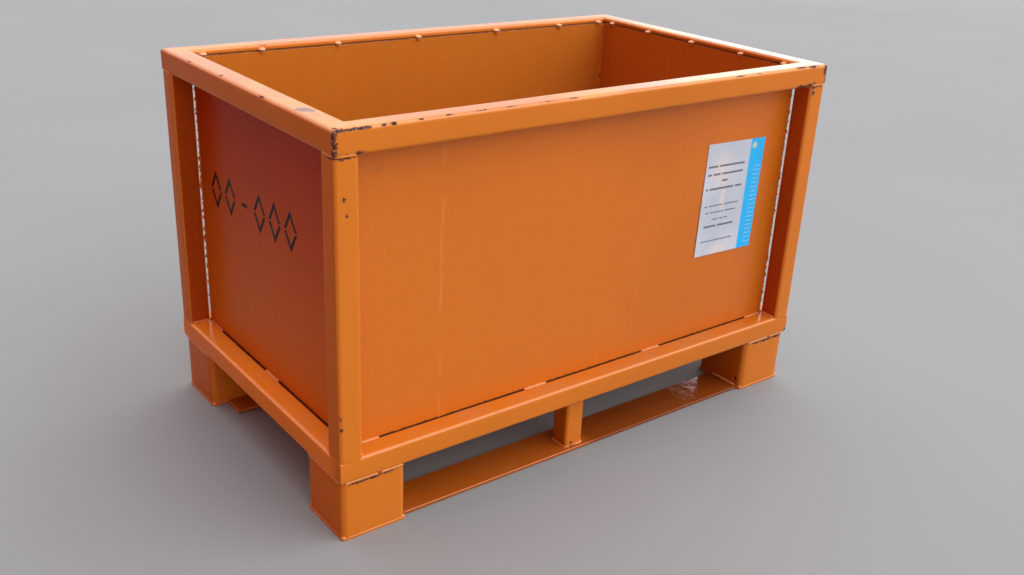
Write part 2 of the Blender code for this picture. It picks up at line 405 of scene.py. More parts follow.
# --- welds ----------------------------------------------------------------------------
def bead(bm, path, width, height, ups, rng, rough):
    """Weld bead along a path: a half-buried flattened tube, rippled by frozen puddles."""
    lengths = [0.0]
    for a, b in zip(path, path[1:]):
        lengths.append(lengths[-1] + (b - a).length)
    total = lengths[-1]
    steps = max(6, round(total / (WELD_RIPPLE / 3)))
    sides = 10
    rings = []
    phase = rng.random() * WELD_RIPPLE
    for step in range(steps + 1):
        s = total * step / steps
        k = max(i for i, length in enumerate(lengths) if length <= s + 1e-9)
        k = min(k, len(path) - 2)
        span = lengths[k + 1] - lengths[k]
        t = (s - lengths[k]) / span
        middle = path[k].lerp(path[k + 1], t)
        up = ups[k].lerp(ups[k + 1], t).normalized()
        forward = (path[k + 1] - path[k]).normalized()
        side = forward.cross(up).normalized()
        end = min(s, total - s) / (width * 0.6)
        taper = math.sqrt(max(0.02, 1 - (1 - min(1.0, end)) ** 2))
        saw = ((s + phase) / WELD_RIPPLE) % 1.0
        swell = 1 + rough * (math.sin(math.pi * saw) - 0.6) + rough * noise.noise(middle * 170)
        drift = side * noise.noise(middle * 90 + up * 3) * width * 0.10
        ring = []
        for i in range(sides):
            angle = 2 * math.pi * i / sides
            ring.append(bm.verts.new(
                middle + drift + side * math.cos(angle) * width / 2 * swell * taper
                + up * math.sin(angle) * height * swell * taper))
        rings.append(ring)
    skin_rings(bm, rings)


def straight(bm, start, end, up, width, height, rng, rough):
    bead(bm, [start, end], width, height, [up, up], rng, rough)


def dome(bm, middle, up, radius, height, flatness=1.0):
    """Tack weld or spatter: a low, slightly uneven dome, flatter-topped below 1."""
    turn = up.to_track_quat("Z", "Y").to_matrix().to_4x4()
    made = bmesh.ops.create_uvsphere(bm, u_segments=14, v_segments=9, radius=1.0)
    for vert in made["verts"]:
        uneven = 1 + 0.16 * noise.noise(vert.co * 1.7 + middle * 60)
        lift = math.copysign(abs(vert.co.z) ** flatness, vert.co.z)
        vert.co = Vector((vert.co.x * radius, vert.co.y * radius, lift * height)) * uneven
        vert.co = turn @ vert.co + middle


def outline_path(centre, width, radius, z):
    """Closed path round an upright tube, with the directions that face away from it."""
    points = section(width, radius, 6, 6)
    path = [Vector((centre.x + u, centre.y + v, z)) for u, v in points]
    ups = []
    for u, v in points:
        inset = width / 2 - radius
        away = Vector((u - max(-inset, min(inset, u)), v - max(-inset, min(inset, v)), 0.0))
        ups.append((away if away.length else Vector((u, v, 0))).normalized())
    return path + path[:1], ups + ups[:1]


def add_post_welds(material):
    """Groove beads round the posts' outer faces and fillets on their inner faces."""
    rng = random.Random(5)
    bm = bmesh.new()
    half = TUBE / 2
    in_groove, below_face = 0.0026, 0.0033    # a bead's middle from the rail's edge and face
    for corner in CORNERS:
        centre = node_middle(f"corner_post_{corner}")
        sx, sy = corner_signs(corner)
        for z, tilt in ((RAIL_TOP - in_groove, 1), (RIM_LOW + in_groove, -1)):
            path, ups = outline_path(centre, TUBE - 2 * below_face, TUBE_RADIUS, z)
            bead(bm, path, 0.0092, 0.0029, ups, rng, rough=0.14)
            level = z + tilt * 0.0022
            for face in (Vector((-sx, 0, 0)), Vector((0, -sy, 0))):
                along = Vector((face.y, face.x, 0)) * (half - 0.006)
                middle = Vector((centre.x, centre.y, level)) + face * (half - 0.0004)
                straight(bm, middle - along, middle + along, face + Vector((0, 0, tilt)),
                         0.0110, 0.0034, rng, rough=0.3)
    add_piece("post_welds", bm, material, sharp=WELD_SHARP)


def beside_walls(inset, places):
    """Places along the long walls, then the end walls, on both walls of each pair: the axis
    that the wall runs along, the place, how far off it is, and which way it faces."""
    spans = (HIGH.y - LOW.y, HIGH.x - LOW.x)
    for axis in (0, 1):
        for place in places[axis]:
            yield axis, place, inset, -1
            yield axis, place, spans[axis] - inset, 1


def sheet_corners(inset):
    """The corners of a rectangle inset from the frame's faces, and which way they lie."""
    for x, sx in ((inset, -1), (HIGH.x - LOW.x - inset, 1)):
        for y, sy in ((inset, -1), (HIGH.y - LOW.y - inset, 1)):
            yield x, y, sx, sy


def by_axis(axis, along, across, up):
    """A vector from its parts along and across a wall that runs along X (0) or Y (1)."""
    return Vector((across, along, up)) if axis else Vector((along, across, up))


def add_stitch_welds(material):
    """Short beads in the groove between the wall sheets and the bottom rails."""
    rng = random.Random(8)
    bm = bmesh.new()
    long_runs = ((0.060, 0.123), (0.516, 0.583), (0.894, 0.958), (1.287, 1.350))
    end_runs = ((0.059, 0.132), (0.394, 0.462), (0.718, 0.791))
    sizes = ((0.0115, 0.0036), (0.0105, 0.0034))
    z = RAIL_TOP - 0.0035
    for axis, run, off, face in beside_walls(PANEL_FACE - 0.0028, (long_runs, end_runs)):
        start, end = (at(*by_axis(axis, place, off, z)) for place in run)
        straight(bm, start, end, by_axis(axis, 0, face, 1.0), *sizes[axis], rng, rough=0.2)
    add_piece("stitch_welds", bm, material, sharp=WELD_SHARP)


def add_tack_welds(material, seam_material):
    """Tacks along the wall sheets' top edges, and the welds down the inside corners."""
    rng = random.Random(13)
    bm = bmesh.new()
    z = PANEL_TOP + 0.0015
    places = ((0.080, 0.235, 0.442, 0.682, 0.949, 1.173, 1.334),
              (0.094, 0.243, 0.419, 0.600, 0.756))
    sizes = ((0.0088, 0.0106, 0.0056), (0.0084, 0.0102, 0.0054))
    for axis, place, off, face in beside_walls(PANEL_FACE + 0.0005, places):
        middle = at(*by_axis(axis, place + rng.uniform(-0.004, 0.004), off, z))
        least, most, height = sizes[axis]
        dome(bm, middle, by_axis(axis, 0, -face, 2.4).normalized(), rng.uniform(least, most),
             height, flatness=0.45)
    add_piece("tack_welds", bm, material, sharp=WELD_SHARP)
    bm = bmesh.new()
    for x, y, sx, sy in sheet_corners(PANEL_FACE + SHEET):
        straight(bm, at(x, y, PANEL_LOW + 0.02), at(x, y, PANEL_TOP - 0.004),
                 Vector((-sx, -sy, 0.0)), 0.0105, 0.0030, rng, rough=0.25)
    add_piece("corner_welds", bm, seam_material, sharp=WELD_SHARP)


def add_leg_welds(material):
    """Broken beads under the bottom rails, and round the foot plates and skid ends."""
    rng = random.Random(21)
    bm = bmesh.new()
    for corner in CORNERS:
        low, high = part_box(f"leg_{corner}")
        centre = (low + high) / 2
        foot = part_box(f"foot_plate_{corner}")[1].z
        path, ups = outline_path(centre, high.x - low.x - 0.0022, LEG_RADIUS, foot + 0.0006)
        bead(bm, path, 0.0040, 0.0011, ups, rng, rough=0.14)
        half = (high.x - low.x) / 2 - 0.0058
        for x, y in ((-1, -1), (-1, 1), (1, -1), (1, 1)):
            blob = Vector((centre.x + x * half, centre.y + y * half, foot + 0.0008))
            dome(bm, blob, Vector((x, y, 1.6)).normalized(), 0.0050, 0.0036)
        sx, sy = corner_signs(corner)
        y = centre.y + sy * ((high.y - low.y) / 2 - 0.0008)
        z = RAIL_LOW + 0.0008
        for start, end in ((0.008, 0.033), (0.028, 0.088), (0.094, 0.150)):
            straight(bm, Vector((low.x + start, y, z)), Vector((low.x + end, y, z)),
                     Vector((0, sy, 0)), 0.0068, 0.0030, rng, rough=0.22)
        x = centre.x + sx * ((high.x - low.x) / 2 - 0.0002)
        straight(bm, Vector((x, low.y + 0.012, z)), Vector((x, high.y - 0.012, z)),
                 Vector((sx, 0, 0)), 0.0060, 0.0022, rng, rough=0.18)
    add_piece("leg_welds", bm, material, sharp=WELD_SHARP)


def add_skid_welds(material):
    """Beads where the pocket posts and legs stand on or beside the flat bars."""
    rng = random.Random(34)
    bm = bmesh.new()
    for place in ("front", "rear"):
        low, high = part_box(f"{place}_centre_post")
        centre = (low + high) / 2
        width = high.x - low.x
        for z, tilt, size, rough in ((SKID_TOP + 0.0006, 1.0, (0.0085, 0.0030), 0.3),
                                     (RAIL_LOW - 0.0008, -1.0, (0.0060, 0.0020), 0.2)):
            path, ups = outline_path(centre, width - 0.001, TUBE_RADIUS, z)
            ups = [(up + Vector((0, 0, tilt))).normalized() for up in ups]
            bead(bm, path, *size, ups, rng, rough)
    low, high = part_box("front_skid")
    sunk = SKID_TOP - 0.0004
    for x, sx in ((low.x + 0.0005, 1), (high.x - 0.0005, -1)):
        straight(bm, Vector((x, low.y + 0.006, sunk)), Vector((x, high.y - 0.006, sunk)),
                 Vector((sx, 0, 1.2)), 0.0095, 0.0034, rng, rough=0.3)
    for _ in range(16):
        x = rng.choice((low.x + 0.02, high.x - 0.02)) + rng.uniform(-0.016, 0.05)
        dome(bm, Vector((x, rng.uniform(low.y + 0.01, high.y - 0.01), sunk)),
             Vector((0, 0, 1)), rng.uniform(0.0008, 0.0018), rng.uniform(0.0008, 0.0014))
    add_piece("skid_welds", bm, material, sharp=WELD_SHARP)


def add_slit_lumps(material):
    """Paint and spatter hanging on the wall sheets' upright edges, beside the open slits."""
    rng = random.Random(55)
    bm = bmesh.new()
    for x, y, sx, sy in sheet_corners(PANEL_FACE + 0.0006):
        outward = Vector((sx, sy, 0.0)).normalized()
        z = RAIL_TOP + 0.02
        while z < RIM_LOW - 0.01:
            size = rng.uniform(0.0009, 0.0029)
            tip = (outward + Vector((0, 0, rng.uniform(-0.5, 0.5)))).normalized()
            dome(bm, at(x, y, z), tip, size * rng.uniform(1.4, 3.2), size)
            z += rng.uniform(0.004, 0.026)
        dome(bm, at(x, y, RAIL_TOP + 0.002), outward, 0.0060, 0.0030)
    add_piece("slit_lumps", bm, material, sharp=WELD_SHARP)


# --- shader nodes ---------------------------------------------------------------------
class Nodes:
    """Short names for the shader nodes that the sky and the materials are wired from."""

    def __init__(self, owner, shader):
        owner.use_nodes = True
        self.tree = owner.node_tree
        self.shader = self.tree.nodes[shader]

    def node(self, kind, **settings):
        made = self.tree.nodes.new(kind)
        for key, value in settings.items():
            setattr(made, key, value)
        return made

    def put(self, socket, value):
        if isinstance(value, bpy.types.NodeSocket):
            self.tree.links.new(value, socket)
        else:
            socket.default_value = value

    def set(self, name, value):
        """Feed one of the shader's own inputs."""
        self.put(self.shader.inputs[name], value)

    def math(self, operation, *values):
        made = self.node("ShaderNodeMath", operation=operation)
        for socket, value in zip(made.inputs, values):
            self.put(socket, value)
        return made.outputs[0]

    def times(self, first, *others):
        for other in others:
            first = self.math("MULTIPLY", first, other)
        return first

    def plus(self, first, *others):
        for other in others:
            first = self.math("ADD", first, other)
        return first

    def minus(self, a, b):
        return self.math("SUBTRACT", a, b)

    def apart(self, a, b):
        """How far apart two numbers are."""
        return self.math("ABSOLUTE", self.minus(a, b))

    def hypot(self, u, v):
        return self.math("SQRT", self.plus(self.times(u, u), self.times(v, v)))

    def vector(self, operation, a, b=(0, 0, 0)):
        made = self.node("ShaderNodeVectorMath", operation=operation)
        self.put(made.inputs[0], a)
        self.put(made.inputs[1], b)
        return made.outputs["Value" if operation in ("LENGTH", "DOT_PRODUCT") else "Vector"]

    def split(self, vector):
        made = self.node("ShaderNodeSeparateXYZ")
        self.put(made.inputs[0], vector)
        return made.outputs

    def step(self, value, low, high, out_low=0.0, out_high=1.0):
        """Smooth step from out_low to out_high as value goes from low to high."""
        made = self.node("ShaderNodeMapRange", interpolation_type="SMOOTHSTEP")
        for socket, number in zip(made.inputs, (value, low, high, out_low, out_high)):
            self.put(socket, number)
        return made.outputs[0]

    def mix(self, factor, a, b, blend="MIX"):
        made = self.node("ShaderNodeMix", data_type="RGBA", blend_type=blend)
        self.put(made.inputs[0], factor)
        self.put(made.inputs[6], (*a, 1.0) if isinstance(a, tuple) else a)
        self.put(made.inputs[7], (*b, 1.0) if isinstance(b, tuple) else b)
        return made.outputs[2]

    def blend(self, factor, a, b):
        """Mix of two numbers."""
        made = self.node("ShaderNodeMix", data_type="FLOAT")
        for socket, value in zip((made.inputs[0], made.inputs[2], made.inputs[3]), (factor, a, b)):
            self.put(socket, value)
        return made.outputs[0]

    def bump(self, height, distance, strength, after=None):
        made = self.node("ShaderNodeBump")
        for key, value in (("Height", height), ("Distance", distance), ("Strength", strength)):
            self.put(made.inputs[key], value)
        if after is not None:
            self.put(made.inputs["Normal"], after)
        return made.outputs[0]

    def box_mask(self, u, v, middle, size, soft):
        """1 inside a rectangle on the plane of two coordinates, with a soft edge."""
        du = self.minus(self.apart(u, middle[0]), size[0] / 2)
        dv = self.minus(self.apart(v, middle[1]), size[1] / 2)
        return self.step(self.math("MAXIMUM", du, dv), soft, -soft)


class Graph(Nodes):
    """A new material's nodes, with patterns laid out in the object's own space."""

    def __init__(self, name):
        self.material = bpy.data.materials.new(name)
        super().__init__(self.material, "Principled BSDF")
        self.place = self.node("ShaderNodeTexCoord").outputs["Object"]
        self.normal = self.node("ShaderNodeNewGeometry").outputs["Normal"]

    @property
    def colour(self):
        """What feeds the shader's base colour so far."""
        return self.shader.inputs["Base Color"].links[0].from_socket

    @colour.setter
    def colour(self, socket):
        self.set("Base Color", socket)

    def noise(self, scale, detail=3.0, stretch=(1, 1, 1), rough=0.5, shift=0.0):
        mapping = self.node("ShaderNodeMapping")
        self.put(mapping.inputs["Vector"], self.place)
        mapping.inputs["Location"].default_value = (shift, shift * 0.7, shift * 1.3)
        mapping.inputs["Scale"].default_value = stretch
        made = self.node("ShaderNodeTexNoise")
        self.put(made.inputs["Vector"], mapping.outputs[0])
        for key, value in (("Scale", scale), ("Detail", detail), ("Roughness", rough)):
            made.inputs[key].default_value = value
        return made.outputs["Fac"]

    def near(self, spots):
        """Smallest scaled distance to any spot; a spot is a middle and three radii, in mm."""
        nearest = None
        for spot in spots:
            x, y, z, *radii = (number / 1000 for number in spot)
            away = self.vector("SUBTRACT", self.place, at(x, y, z))
            distance = self.vector("LENGTH", self.vector("DIVIDE", away, radii))
            nearest = distance if nearest is None else self.math("MINIMUM", nearest, distance)
        return nearest


# --- materials ------------------------------------------------------------------------
ORANGE = (0.665, 0.182, 0.0135)
SHEET_ORANGE = (0.650, 0.160, 0.0110)
# painted shade: a darker copy of the frame's orange for its faces that look along X
END_SHADE_ORANGE = (0.540, 0.140, 0.0095)
# painted shade: a darker, redder orange for the posts' inner faces in the recess beside the sheets
RECESS_SHADE_ORANGE = (0.480, 0.082, 0.0080)
# dust and painted shade: a browner, darker orange for the wall sheets' inner faces in the bin's
# hollow
INSIDE_DUST_AND_SHADE = (0.430, 0.178, 0.0240)
# painted sheen: a paler orange standing for the sky mirrored on the tacks' glossy tops
TACK_SHEEN_ORANGE = (0.760, 0.340, 0.140)
# painted highlight: a paler orange standing for the lit glossy tops of the stitch and leg welds
STITCH_SHEEN_ORANGE = (0.730, 0.250, 0.065)
# painted shade: a darker orange for the skid bars that lie in the shade under the bin
SKID_SHADE_ORANGE = (0.390, 0.092, 0.0090)
# painted shade for the skid bars' right end
SKID_END_SHADE = (0.235, 0.052, 0.0075)
FADED_ORANGE = (0.700, 0.225, 0.032)
DUST = (0.420, 0.290, 0.190)
PRIMER = (0.040, 0.019, 0.015)
BARE_STEEL = (0.165, 0.080, 0.068)
RUST = (0.095, 0.031, 0.018)
# dark grime, also used as painted shade in the gaps between rails and sheets
GRIME_AND_GAP_SHADE = (0.042, 0.022, 0.014)
SCUFFED = (0.720, 0.300, 0.050)
SCRAPED = (0.170, 0.085, 0.095)
# painted highlight: a paler orange for the faces that tilt up, the tubes' rounded upper edges
EDGE_HIGHLIGHT = (0.840, 0.380, 0.170)
DRIP_ORANGE = (0.76, 0.32, 0.075)
STENCIL_BLACK = (0.009, 0.007, 0.007)

# Worn places, and the painted shade of seam gaps, in millimetres: a middle from the frame's left
# end, front face and the ground, and the radii along X, Y and Z.
RIM_CHIPS = [
    # near corner: its upright edge, the rim beside it and the seam below it
    (2, 2, 884, 7.5, 6.5, 10),
    (2, 1, 866, 6, 5, 13),
    (2, 1, 850, 7, 6, 8),
    (16, 3, 891, 18, 5, 3.4),
    (56, 3, 891, 26, 4.4, 3.6),
    (10, 12, 895, 5, 6, 2),
    (22, 0, 841.2, 29, 6, 5.6),
    (54, 0, 843, 11, 6, 5.6),
    (0, 12, 841, 7, 19, 4.4),
    # along the front rim
    (108, 3, 892, 6, 3.6, 2.6),
    (128, 3, 892, 7, 4, 3.4),
    (190, 3, 893, 8, 3, 2),
    (255, 4, 894, 13, 3, 1.6),
    (330, 4, 894, 16, 3, 1.4),
    (400, 4, 894, 20, 2.8, 1.4),
    (500, 4, 894, 22, 2.8, 1.4),
    (570, 4, 894, 16, 2.8, 1.4),
    (760, 4, 894, 10, 2.6, 1.2),
    (1085, 3, 893, 13, 3, 2),
    (1150, 3, 893, 6, 2.6, 1.6),
    (1310, 4, 893, 16, 6, 2.8),
    (1356, 3, 892, 18, 5.4, 3.4),
    # right corner
    (1403, 1, 880, 7, 4, 13),
    (1409, 0, 862, 3, 3, 14),
    (1316, 1, 845, 16, 4.4, 4),
    (1346, 1, 844, 15, 4.4, 5.6),
    (1366, 1, 840, 8, 3.6, 9),
    (1388, 0, 841, 16, 3.4, 3.4),
    (1368, 0, 826, 4.4, 3.4, 10),
    # left rim: a long scrape, and small chips
    (8, 509, 893, 4, 8, 2.6),
    (3, 300, 892, 3, 12, 2.2),
    (4, 680, 893, 3, 7, 2),
    # back and right rims
    (190, 796, 893.5, 14, 2.6, 2),
    (236, 796, 892.5, 7, 3, 2.6),
    (320, 796, 893.5, 34, 2.4, 1.8),
    (540, 848, 892.5, 24, 3, 2.2),
    (905, 848, 892.5, 16, 3, 2),
    (1180, 849, 890, 26, 2.6, 4),
    (1409, 849, 880, 3, 3, 14),
    (1407, 390, 892, 3, 16, 2.6),
    (1407, 620, 892, 3, 11, 2.6),
    (1, 849, 884, 4, 4, 9),
]
BODY_CHIPS = [
    (2, 1, 300, 5, 4, 7),
    (4, 0, 274, 6, 4, 5.6),
    (21, 0, 760, 3.6, 3, 5),
    (26, 0, 727, 2.8, 3, 3.6),
    (0, 770, 382, 3, 4.4, 5),
    (0, 779, 338, 3, 4, 4.4),
    (653, 26, 17, 5, 4, 4.4),
    (1408, 2, 148, 6, 4, 7),
    (1408, 848, 160, 3.4, 3.4, 16),
    (780, 850, 147, 40, 3.4, 3.6),
    (400, 850, 146, 26, 3.4, 3.4),
    (330, 1, 144, 20, 2.6, 2),
    (1020, 1, 144, 24, 2.6, 2),
    (2, 846, 196, 4, 12, 2.4),
]
SEAM_GAP_SHADE = [
    # dark open stretches in the welds between the legs' tops and the bottom rails: painted shade
    # of the gaps there
    (50, 3, 136.6, 26, 6, 3.6),
    (84, 3, 136.8, 20, 6, 4),
    (118, 3, 136.6, 16, 6, 3.4),
    (1290, 3, 136.7, 13, 6, 4),
    (1330, 3, 136.6, 24, 6, 5),
    (1380, 3, 136.7, 22, 6, 4.4),
    (72, 847, 137.7, 30, 6, 2.2),
    (1330, 847, 137.7, 26, 6, 2.2),
]
SCRAPES = [
    # long smooth rubs through the gloss on the rim
    (24, 163, 895, 18, 17, 3),
    (34, 150, 895, 10, 12, 3),
]
# dark spots on welds: beside the front pocket post, at the right leg and in a back corner
BURNS = [
    (651, 18, 8, 11, 11, 6),
    (1182, 21, 9, 4, 4, 4),
    (1350, 791, 718, 6, 6, 5),
]
DOT_CHIP = [(126, 55, 790, 2.6, 3, 3)]


def chipping(g, grain, spots, wear, round_chips):
    """1 where the paint is chipped off: a few specks anywhere, and the worn spots; the spots in
    the seam gaps are painted shade drawn the same way.
    """
    specks = g.step(g.noise(150.0, 4.0, rough=0.75, shift=8.0), 0.75, 0.77)
    chip = g.times(specks, g.step(g.noise(4.0, 2.0, shift=9.0), 0.50, 0.66), wear)
    if spots:
        ragged = g.minus(g.noise(260.0, 8.0, rough=0.78), 0.5)
        reach = g.plus(g.times(g.near(spots), 0.80), 0.24, g.times(ragged, 4.0),
                       g.times(grain, 1.4))
        chip = g.math("MAXIMUM", chip, g.step(reach, 1.04, 0.90))
        g.colour = g.mix(g.times(g.step(reach, 1.7, 1.0), 0.30), g.colour, round_chips)
    return chip


def sheet_lines(g, height, grain):
    """Dark line at a wall sheet's foot, in the groove by the bottom rail; the result is 1 along
    its bare top edge.
    """
    uneven = g.plus(height, g.times(grain, 0.0060))
    foot = g.step(uneven, RAIL_TOP + 0.0002, RAIL_TOP - 0.0010)
    g.colour = g.mix(g.times(foot, 0.92), g.colour, GRIME_AND_GAP_SHADE)
    return g.step(uneven, PANEL_TOP - 0.0020, PANEL_TOP - 0.0008)


def frame_lines(g, height, grain):
    """Dark seam round the rails' inner faces at the sheets' top edges, grime and painted shade of
    the gap there, and smooth scrapes.
    """
    x, y = g.split(g.place)[:2]
    sides = g.math("MINIMUM", g.minus(x, LOW.x), g.minus(HIGH.x, x))
    ends = g.math("MINIMUM", g.minus(y, LOW.y), g.minus(HIGH.y, y))
    inner = g.step(g.math("MINIMUM", sides, ends), TUBE - 0.0045, TUBE - 0.0030)
    # painted shade of the gap between rail and sheet, with grime
    seam = g.plus(g.apart(height, PANEL_TOP + 0.0008), g.times(grain, 0.0020))
    g.colour = g.mix(g.times(inner, g.step(seam, 0.0020, 0.0012, 0.0, 0.85)), g.colour, GRIME_AND_GAP_SHADE)
    scrape = g.plus(g.near(SCRAPES), g.times(grain, 0.8))
    g.colour = g.mix(g.step(scrape, 1.05, 0.75, 0.0, 0.90), g.colour, SCRAPED)


def paint(name, gloss=0.15, runs=0.0, spots=(), dirt=0.2, wear=0.4, peel=1.0,
          freckles=0.35, sheet=False, fresh=ORANGE, ior=1.34):
    """Orange gloss paint on steel: uneven film, dust on what faces up, a painted highlight on
    upper edges, chips, and grime with painted shade in gaps.
    """
    g = Graph(name)
    height, facing = g.split(g.place)[2], g.split(g.normal)[2]
    medium = g.noise(14.0, 5.0, rough=0.6)
    grain = g.minus(g.noise(110.0, 4.0, rough=0.6, shift=4.0), 0.5)

    # the film itself, and on a sheet its inside: browner with dust and darker with painted shade
    deep = tuple(part * 0.92 for part in fresh)
    g.colour = g.mix(g.step(g.noise(1.7, 3.0, shift=1.7), 0.38, 0.66), fresh, deep)
    g.colour = g.mix(g.times(g.step(medium, 0.50, 0.80), 0.05), g.colour, FADED_ORANGE)
    if sheet:
        inside = g.step(g.vector("DOT_PRODUCT", g.normal, g.place), 0.02, -0.10, 0.0, 0.5)
        g.colour = g.mix(inside, g.colour, INSIDE_DUST_AND_SHADE)

    # scuffs on top of the rim, a painted highlight on the upper rounded edges, faint runs, dust
    # and dark freckles
    patches = g.step(g.noise(9.0, 5.0, stretch=(0.5, 0.5, 1.0), shift=6.6), 0.47, 0.60)
    scuff = g.times(patches, g.step(height, RIM - 0.01, RIM - 0.003))
    g.colour = g.mix(g.times(scuff, 0.75), g.colour, SCUFFED)
    if not sheet:
        edges = g.times(g.step(facing, 0.30, 0.62), g.step(facing, 0.93, 0.72))
        g.colour = g.mix(g.times(edges, 0.50), g.colour, EDGE_HIGHLIGHT)
    streak = g.noise(70.0, 3.0, stretch=(1.0, 1.0, 0.012), shift=5.0)
    streaks = g.times(g.step(streak, 0.42, 0.72), runs)
    g.colour = g.mix(streaks, g.colour, FADED_ORANGE)
    settled = g.step(g.noise(7.0, 6.0, rough=0.65, shift=3.1), 0.42, 0.75)
    dust = g.times(g.step(facing, 0.35, 0.95), settled, dirt)
    g.colour = g.mix(dust, g.colour, DUST)
    freckle = g.times(g.step(g.noise(420.0, 2.0, shift=2.0), 0.70, 0.78), freckles)
    g.colour = g.mix(freckle, g.colour, GRIME_AND_GAP_SHADE)

    chip = chipping(g, grain, spots, wear, deep)
    if sheet:
        chip = g.math("MAXIMUM", chip, g.times(sheet_lines(g, height, grain), 0.85))
    else:
        frame_lines(g, height, grain)
    metal = g.mix(g.step(g.noise(330.0, 4.0, shift=6.0), 0.44, 0.58), BARE_STEEL, RUST)
    metal = g.mix(g.step(g.noise(140.0, 4.0, shift=7.0), 0.46, 0.56), metal, PRIMER)
    g.colour = g.mix(chip, g.colour, metal)

    rough = g.plus(gloss, g.times(g.minus(medium, 0.5), 0.06), g.times(dust, 0.35),
                   g.times(scuff, 0.08), g.times(streaks, 0.10))
    g.set("Roughness", g.blend(chip, rough, 0.85))
    g.set("Metallic", g.times(chip, 0.25))
    g.set("IOR", ior)

    # relief: orange peel, broad waves in the film, and the chips' depth
    normal = g.bump(g.noise(520.0, 2.0, shift=1.0), 0.00006 * peel, 0.6)
    normal = g.bump(g.noise(22.0, 2.0, shift=2.2), 0.0006 * peel, 0.15, normal)
    normal = g.bump(g.minus(1.0, chip), 0.0003, 0.8, normal)
    g.set("Normal", normal)
    return g


def paint_run(g, x, width, strength):
    """One long drip down a sheet, a little paler than the paint it ran over."""
    drift = g.times(g.minus(g.noise(9.0, 3.0, shift=4.4), 0.5), 0.012)
    away = g.apart(g.plus(g.split(g.place)[0], drift), LOW.x + x)
    broken = g.step(g.noise(16.0, 3.0, stretch=(0.1, 1.0, 1.0), shift=7.1), 0.32, 0.60)
    run = g.times(g.step(away, width, 0.0), broken)
    g.colour = g.mix(g.times(run, strength), g.colour, DRIP_ORANGE)


def facing_left(g):
    """1 on the faces that look towards the object's left end."""
    return g.step(g.split(g.normal)[0], -0.3, -0.6)


def shaded_tint(g, low, high, low_tint, high_tint):
    """Redder paint towards the top of the left sheet's outside, where the rim shades it."""
    tint = g.mix(g.step(g.split(g.place)[2], low, high), low_tint, high_tint)
    g.colour = g.mix(facing_left(g), g.colour, tint, blend="MULTIPLY")


def lit_left_rail(g):
    """Painted light: paler paint on the left bottom rail, standing for the brighter light on that
    face.
    """
    x, y, height = g.split(g.place)[:3]
    zone = g.times(g.step(height, RAIL_TOP + 0.003, RAIL_TOP),
                   g.step(height, RAIL_LOW - 0.001, RAIL_LOW + 0.003),
                   g.step(x, LOW.x + TUBE, LOW.x + TUBE * 0.8),
                   g.step(y, LOW.y + 0.004, LOW.y + TUBE))
    g.colour = g.mix(zone, g.colour, (1.36, 1.52, 1.60), blend="MULTIPLY")


def shaded_skid_end(g):
    """Painted shade: darker paint on the skid bars' right end, which is dished so that it mirrors
    the sky.
    """
    x, y = g.split(g.place)[:2]
    edge = g.plus(x, g.times(g.minus(g.noise(30.0, 3.0, shift=5.5), 0.5), 0.03))
    g.colour = g.mix(g.step(edge, LOW.x + 0.690, LOW.x + 0.730), g.colour, SKID_END_SHADE)
    dish = g.math("MAXIMUM", g.minus(g.plus(edge, g.times(y, -0.3)), LOW.x + 1.165), 0.0)
    ripples = g.times(g.noise(90.0, 3.0, shift=1.9), 0.0006)
    normal = g.shader.inputs["Normal"]
    slope = g.minus(ripples, g.times(dish, 0.056))
    g.put(normal, g.bump(slope, 1.0, 1.0, normal.links[0].from_socket))


def stencil_mark(g):
    """Black stencil on the left end sheet: open diamonds and a dash, plain shapes only."""
    y, z = g.split(g.place)[1:3]
    u = g.minus(LOW.y + 0.5025, y)
    v = g.minus(g.minus(z, 0.586), g.times(u, 0.043))
    half_wide, half_tall, stroke, crisp = 0.0270, 0.0400, 0.0046, 0.0006
    slant = half_wide * 0.84            # an outline point's distance for one unit across
    from_middle = g.math("ABSOLUTE", v)
    bridge = g.step(from_middle, 0.0016, 0.0028)
    mark = g.box_mask(u, v, (-0.037, 0.0), (0.030, 0.0085), crisp)
    for middle in (-0.196, -0.117, 0.043, 0.120, 0.197):
        reach = g.plus(g.times(g.apart(u, middle), 1 / half_wide),
                       g.times(from_middle, 1 / half_tall))
        shape = g.step(g.times(g.apart(reach, 1.0), slant), stroke + crisp, stroke - crisp)
        mark = g.math("MAXIMUM", mark, g.times(shape, bridge))
    patchy = g.step(g.noise(300.0, 3.0, shift=3.3), 0.30, 0.42, 0.85, 1.0)
    g.colour = g.mix(g.times(mark, facing_left(g), patchy), g.colour, STENCIL_BLACK)


